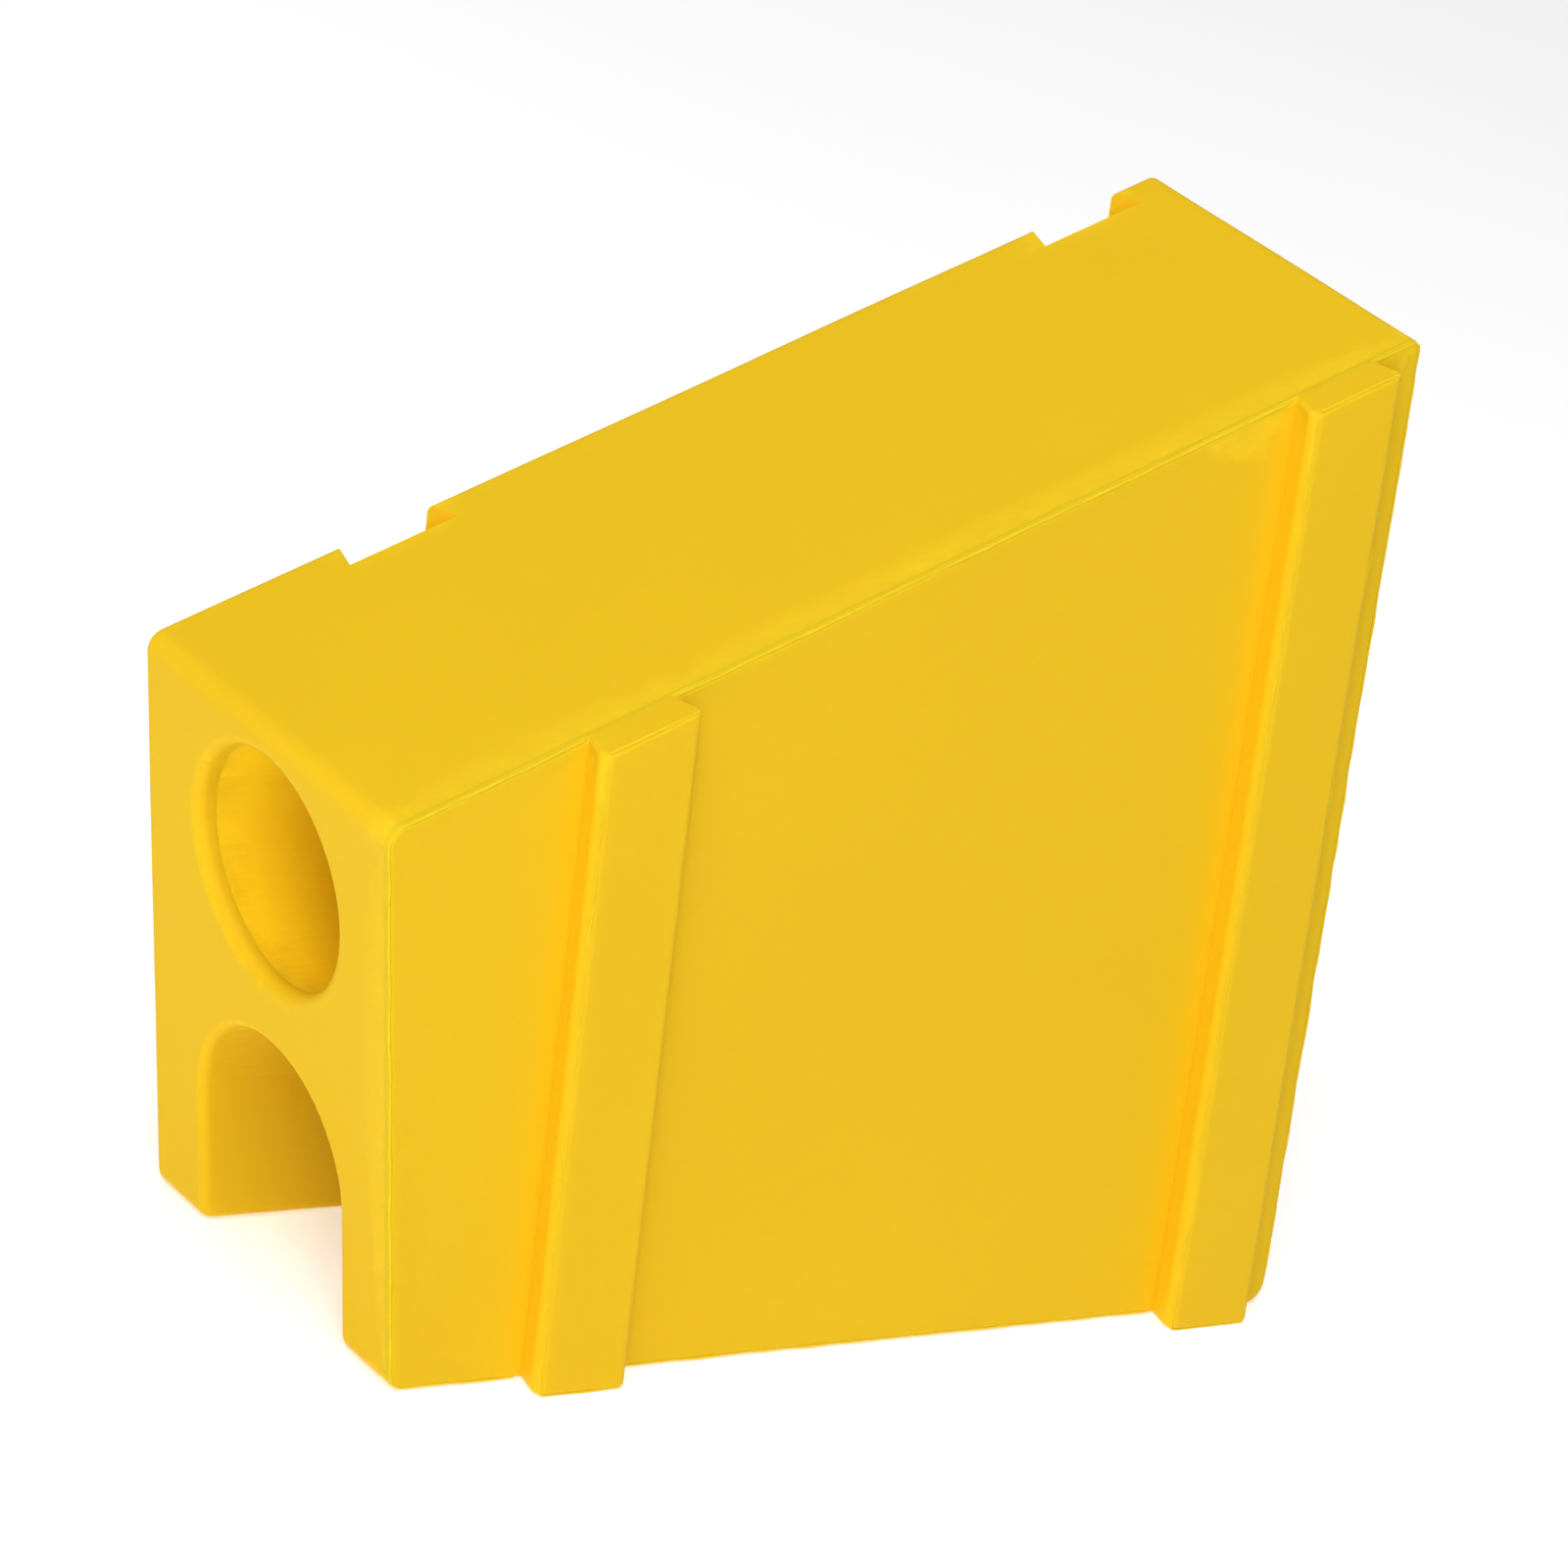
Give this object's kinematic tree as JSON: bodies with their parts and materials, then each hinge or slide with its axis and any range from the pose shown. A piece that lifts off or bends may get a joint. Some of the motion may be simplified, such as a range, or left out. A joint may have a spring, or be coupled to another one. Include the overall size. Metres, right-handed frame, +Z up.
{
  "type": "parking wheel stop",
  "caption": "Leaning wedge-shaped hollow plastic wheel stop module with a round bore along its length, an arched drain tunnel and dovetails that lock it to the next module.",
  "frame": {"origin": "middle of the whole object's footprint, on the ground plane under the rubber pads", "axes": "+X from the low front end with the bore's mouth to the tall rear end, +Y from the ribbed side cover to the side with the sockets, +Z up"},
  "size_m": [0.2534, 0.0868, 0.2095],
  "materials": {
    "shell_plastic": "satin moulded yellow polyethylene with soft edges",
    "cover_plastic": "satin moulded yellow polyethylene, welded on round its rim",
    "tube_plastic": "satin extruded yellow polyethylene",
    "plug_plastic": "matte black moulded polypropylene",
    "seal_rubber": "black nitrile rubber",
    "pad_rubber": "black rubber with shallow cross treads"
  },
  "bodies": {
    "root": {"body_shell": "shell_plastic", "side_cover": "cover_plastic", "bore_tube": "tube_plastic", "filler_plug": "plug_plastic", "plug_seal": "seal_rubber", "near_front_pad": "pad_rubber", "near_rear_pad": "pad_rubber", "far_front_pad": "pad_rubber", "far_rear_pad": "pad_rubber"}
  },
  "joints": []
}
